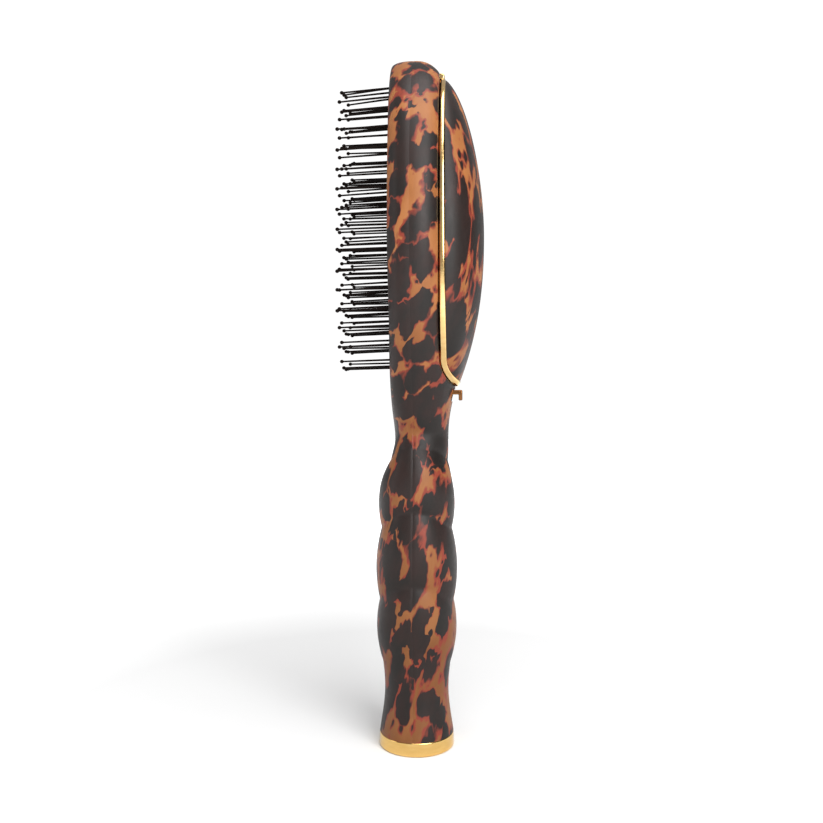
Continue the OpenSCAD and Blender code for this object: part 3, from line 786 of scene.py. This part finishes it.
def bristle_row(i):
    """One row: tapered shafts that end in balls, each a little out of line."""
    chance = random.Random(40 + i)
    bm = bmesh.new()
    sides, root_share, tip_share = 12, 1.08, 0.78
    turns = [2 * math.pi * j / sides for j in range(sides)]
    ball_y = TIP_Y + BALL_D / 2
    depths = [-3.3, -RIM_Y + 0.5, -RIM_Y - 5, -RIM_Y - 10, ball_y]
    for z in row_heights(i):
        lean_x, lean_z = chance.uniform(-0.3, 0.3), chance.uniform(-0.4, 0.4)

        def place(y):
            out = max(-RIM_Y - y, 0.0) / (-RIM_Y - TIP_Y)
            return row_x(i) + lean_x * out, PAD_Z + z - droop(z, y) + lean_z * out

        rings = []
        for k, y in enumerate(depths):
            r = BRISTLE_D / 2 * mix(root_share, tip_share, k / 4)
            x, up = place(y)
            rings.append([bm.verts.new((x + r * math.cos(a), y, up + r * math.sin(a))) for a in turns])
        for low, high in zip(rings, rings[1:]):
            for j in range(sides):
                after = (j + 1) % sides
                bm.faces.new((low[j], low[after], high[after], high[j]))
        bm.faces.new(rings[0])
        bm.faces.new(rings[-1])
        ball = bmesh.ops.create_uvsphere(bm, u_segments=20, v_segments=14, radius=BALL_D / 2)["verts"]
        bmesh.ops.scale(bm, verts=ball, vec=(0.92, 1.0, 0.92))
        x, up = place(ball_y)
        bmesh.ops.translate(bm, verts=ball, vec=(x, ball_y, up))
    mesh = bpy.data.meshes.new(f"bristles_{i}")
    bm.to_mesh(mesh)
    bm.free()
    mesh.transform(((MM, 0, 0, 0), (0, MM, 0, 0), (0, 0, MM, 0), (0, 0, 0, 1)))
    row = bpy.data.objects.new(f"bristles_{i}", mesh)
    bpy.context.scene.collection.objects.link(row)
    tidy_mesh(row, 50)
    mesh.materials.append(NYLON)
    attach(row, "brush")
    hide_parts(f"bristle_row_{i}")


def bristle_pad():
    """Domed rubber cushion with a small collar around every bristle."""
    low, high = node_box("bristle_pad")
    rise, steps, sides = 1.5, 14, 20
    edge_y, root_y = low[1] + rise, high[1]
    w, l = PAD_HALF_W - 0.1, PAD_HALF_L - 0.1
    layers = [(w, l, root_y), (w, l, edge_y)]
    for k in range(1, steps):
        a = math.pi / 2 * k / steps
        layers.append((w * math.cos(a), l * math.cos(a), edge_y - rise * math.sin(a)))
    pad = oval_stack("cushion_body", layers, PAD_Z, RUBBER)
    collars = []
    turns = [2 * math.pi * j / sides for j in range(sides)]
    for i in range(1, ROWS + 1):
        for z in row_heights(i):
            x = row_x(i)
            share = min(((abs(x) / w) ** OVAL_N + (abs(z) / l) ** OVAL_N) ** (1 / OVAL_N), 1)
            y = edge_y - rise * math.sqrt(max(1 - share * share, 0))
            profile = [(1.15, y + 0.25), (0.95, y - 0.18), (0.75, y - 0.42), (0.5, y - 0.5)]
            rings = [[(x + r * math.cos(a), depth, PAD_Z + z + r * math.sin(a)) for a in turns]
                     for r, depth in profile]
            collars.append(skin("collar", rings, RUBBER))
    piece = join("cushion", pad, *collars)
    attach(piece, "brush")
    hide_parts("bristle_pad")


# ---- compartment and mirror ----
def tray():
    """The compartment: a rounded dish with a flange."""
    w, l, top, floor = TRAY_HALF_W, TRAY_HALF_L, TRAY_Y, TRAY_Y - TRAY_DEPTH
    wall, outer = TRAY_WALL, TRAY_WALL + TRAY_LIP
    edge, mouth, fillet, steps = 0.2, 0.4, 2.5, 6
    layers = [(w + wall, l + wall, floor - wall), (w + wall, l + wall, top - FLANGE_T),
              (w + outer, l + outer, top - FLANGE_T), (w + outer, l + outer, top - edge),
              (w + outer - edge, l + outer - edge, top), (w + mouth, l + mouth, top),
              (w, l, top - mouth), (w, l, floor + fillet)]
    for k in range(1, steps + 1):
        a = math.pi / 2 * k / steps
        inset = fillet * (1 - math.cos(a))
        layers.append((w - inset, l - inset, floor + fillet * (1 - math.sin(a))))
    dish = oval_stack("compartment", layers, TRAY_Z, INNER)
    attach(dish, "brush")
    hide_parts("compartment_tray")


def hinge():
    """Gold plate between the compartment's flange and the hinge, with two lugs."""
    rim = TRAY_WALL + TRAY_LIP + 0.1
    half_w, half_l = TRAY_HALF_W + rim, TRAY_HALF_L + rim
    arm = LUG_X + LUG_W
    plate = box_piece("plate", -arm, arm, TRAY_Y - FLANGE_T, TRAY_Y, TRAY_Z + TRAY_HALF_L, HINGE_Z, GOLD)
    flange = oval_stack("flange", [(half_w, half_l, TRAY_Y - 3), (half_w, half_l, TRAY_Y + 1)],
                        TRAY_Z, INNER)
    room = rod("room", KNUCKLE_R + GAP, -LUG_X, LUG_X, HINGE_Y, HINGE_Z, INNER)
    cut(plate, flange, room)
    bevel(plate, 0.15)
    lugs = []
    for s in (-1, 1):
        x0, x1 = sorted((s * LUG_X, s * (LUG_X + LUG_W)))
        lugs.append(rod("lug", KNUCKLE_R, x0 - 0.1, x1 + 0.1, HINGE_Y, HINGE_Z, GOLD, round_mm=0.4))
    piece = join("hinge_plate", plate, *lugs)
    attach(piece, "brush")
    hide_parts("hinge_bracket")


def spring():
    """The latch's coil spring, built at one length; in the real brush it shortens as the latch goes down."""
    low, high = node_box("latch_spring")
    wire_r, turns, per_turn, sides = 0.2, 5, 36, 12
    mid_y = (low[1] + high[1]) / 2
    coil_r = (high[0] - low[0]) / 2 - wire_r
    rings = []
    for k in range(turns * per_turn + 1):
        a = 2 * math.pi * k / per_turn
        z = mix(low[2] + wire_r, high[2] - wire_r, k / (turns * per_turn))
        ring = []
        for j in range(sides):
            b = 2 * math.pi * j / sides
            r = coil_r + wire_r * math.cos(b)
            ring.append((r * math.cos(a), mid_y + r * math.sin(a), z + wire_r * math.sin(b)))
        rings.append(ring)
    coil = skin("coil_spring", rings, STEEL, smooth_angle=60)
    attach(coil, "brush")
    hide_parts("latch_spring")
    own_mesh(coil)


def cad_materials():
    """Materials for the CAD nodes that keep their own meshes."""
    kept = {
        "pad_backing_plate": INNER, "hinge_pin": STEEL, "latch_guide": INNER,
        "mirror_frame": FRAME, "mirror": MIRROR, "mirror_tape": TAPE, "lid_catch": FRAME,
    }
    for name, material in kept.items():
        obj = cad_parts[name]
        obj.data.materials.clear()
        obj.data.materials.append(material)


# ---- stage ----
def floor_material():
    """White floor: lit near the brush, glowing white further out."""
    n = Nodes("studio_white")
    at = n.add("ShaderNodeTexCoord").outputs["Object"]
    away = n.add("ShaderNodeVectorMath", {0: at}, operation="LENGTH").outputs["Value"]
    tone = n.noise(n.coords(), 3.0, 1.0)
    n.set(Base_Color=n.mix_color(tone, (0.79, 0.79, 0.79, 1), (0.81, 0.81, 0.81, 1)), Roughness=0.9)
    n.set(Emission_Color=(1, 1, 1, 1), Emission_Strength=n.spread(away, 0.14, 0.5))
    n.set(Specular_IOR_Level=0.2)
    return n.material


def backdrop_material():
    """Plain white that needs no light."""
    n = Nodes("backdrop_white")
    n.set(Base_Color=(0, 0, 0, 1), Emission_Color=(1, 1, 1, 1), Emission_Strength=1.0)
    return n.material


def flag(name, at, half_w, low, high):
    """A dark upright panel that only polished surfaces see."""
    x, y = at
    along = Vector((-y, x, 0)).normalized() * half_w
    corners = [Vector((x, y, z)) + side * along for z, side in ((low, -1), (low, 1), (high, 1), (high, -1))]
    mesh = bpy.data.meshes.new(name)
    mesh.from_pydata(corners, [], [(0, 1, 2, 3)])
    obj = bpy.data.objects.new(name, mesh)
    bpy.context.scene.collection.objects.link(obj)
    mesh.materials.append(FLAG)
    obj.visible_camera = False
    obj.visible_diffuse = False
    obj.visible_shadow = False


def stage():
    """A round floor, and a white backdrop all round that only the camera sees."""
    reach = 3.0 / MM
    floor = lathe("floor", [(0, 0), (reach, 0)], floor_material(), 96)
    profile = [(reach * math.cos(a), reach * math.sin(a)) for a in [math.pi / 2 * k / 16 for k in range(17)]]
    backdrop = lathe("backdrop", profile, backdrop_material(), 96)
    backdrop.visible_diffuse = False
    backdrop.visible_glossy = False
    backdrop.visible_shadow = False
    flag("flag_right", at=(0.05, 0.6), half_w=0.45, low=0.14, high=0.7)
    flag("flag_left", at=(0.35, -0.5), half_w=0.06, low=0.02, high=0.7)


def area_light(name, at, target, size, size_y, watts):
    """A rectangular softbox that faces target."""
    data = bpy.data.lights.new(name, "AREA")
    data.shape, data.size, data.size_y, data.energy = "RECTANGLE", size, size_y, watts
    obj = bpy.data.objects.new(name, data)
    obj.location = at
    obj.rotation_euler = (Vector(target) - Vector(at)).to_track_quat("-Z", "Y").to_euler()
    bpy.context.scene.collection.objects.link(obj)


def lights():
    """A grey-white room, a large key above on the right, and a softbox for the sheen."""
    bpy.context.scene.view_settings.view_transform = "Standard"
    world = bpy.data.worlds.new("studio")
    bpy.context.scene.world = world
    world.use_nodes = True
    background = world.node_tree.nodes["Background"]
    background.inputs["Color"].default_value = (1, 1, 1, 1)
    background.inputs["Strength"].default_value = 0.52
    area_light("key", (0.42, 0.2, 1.0), (0, 0, 0.08), 0.75, 0.75, 8.5)
    area_light("sheen", (0.80, 0.50, 0.46), (0, 0, 0.17), 0.6, 0.5, 8.0)
    area_light("left", (0.3, -1.0, 0.4), (0, 0, 0.12), 0.3, 0.8, 1.2)


def camera():
    """Level, at the height of the brush's middle, a little behind its side."""
    distance, azimuth, eye, aside = 0.271, math.radians(94.5), 0.112, -0.0018
    data = bpy.data.cameras.new("camera")
    data.lens, data.sensor_width = 35.0, 36.0
    data.clip_start = 0.01
    obj = bpy.data.objects.new("camera", data)
    right = Vector((math.cos(azimuth), math.sin(azimuth), 0))
    toward = Vector((-math.sin(azimuth), math.cos(azimuth), 0))
    obj.location = -toward * distance + right * aside + Vector((0, 0, eye))
    obj.rotation_euler = (math.pi / 2, 0, azimuth)
    bpy.context.scene.collection.objects.link(obj)
    bpy.context.scene.camera = obj


camera()
lights()
stage()
front_shell()
back_shell()
lid_shell()
bezel()
end_cap()
latch_slide()
bristle_pad()
for row in range(1, ROWS + 1):
    bristle_row(row)
tray()
hinge()
spring()
cad_materials()
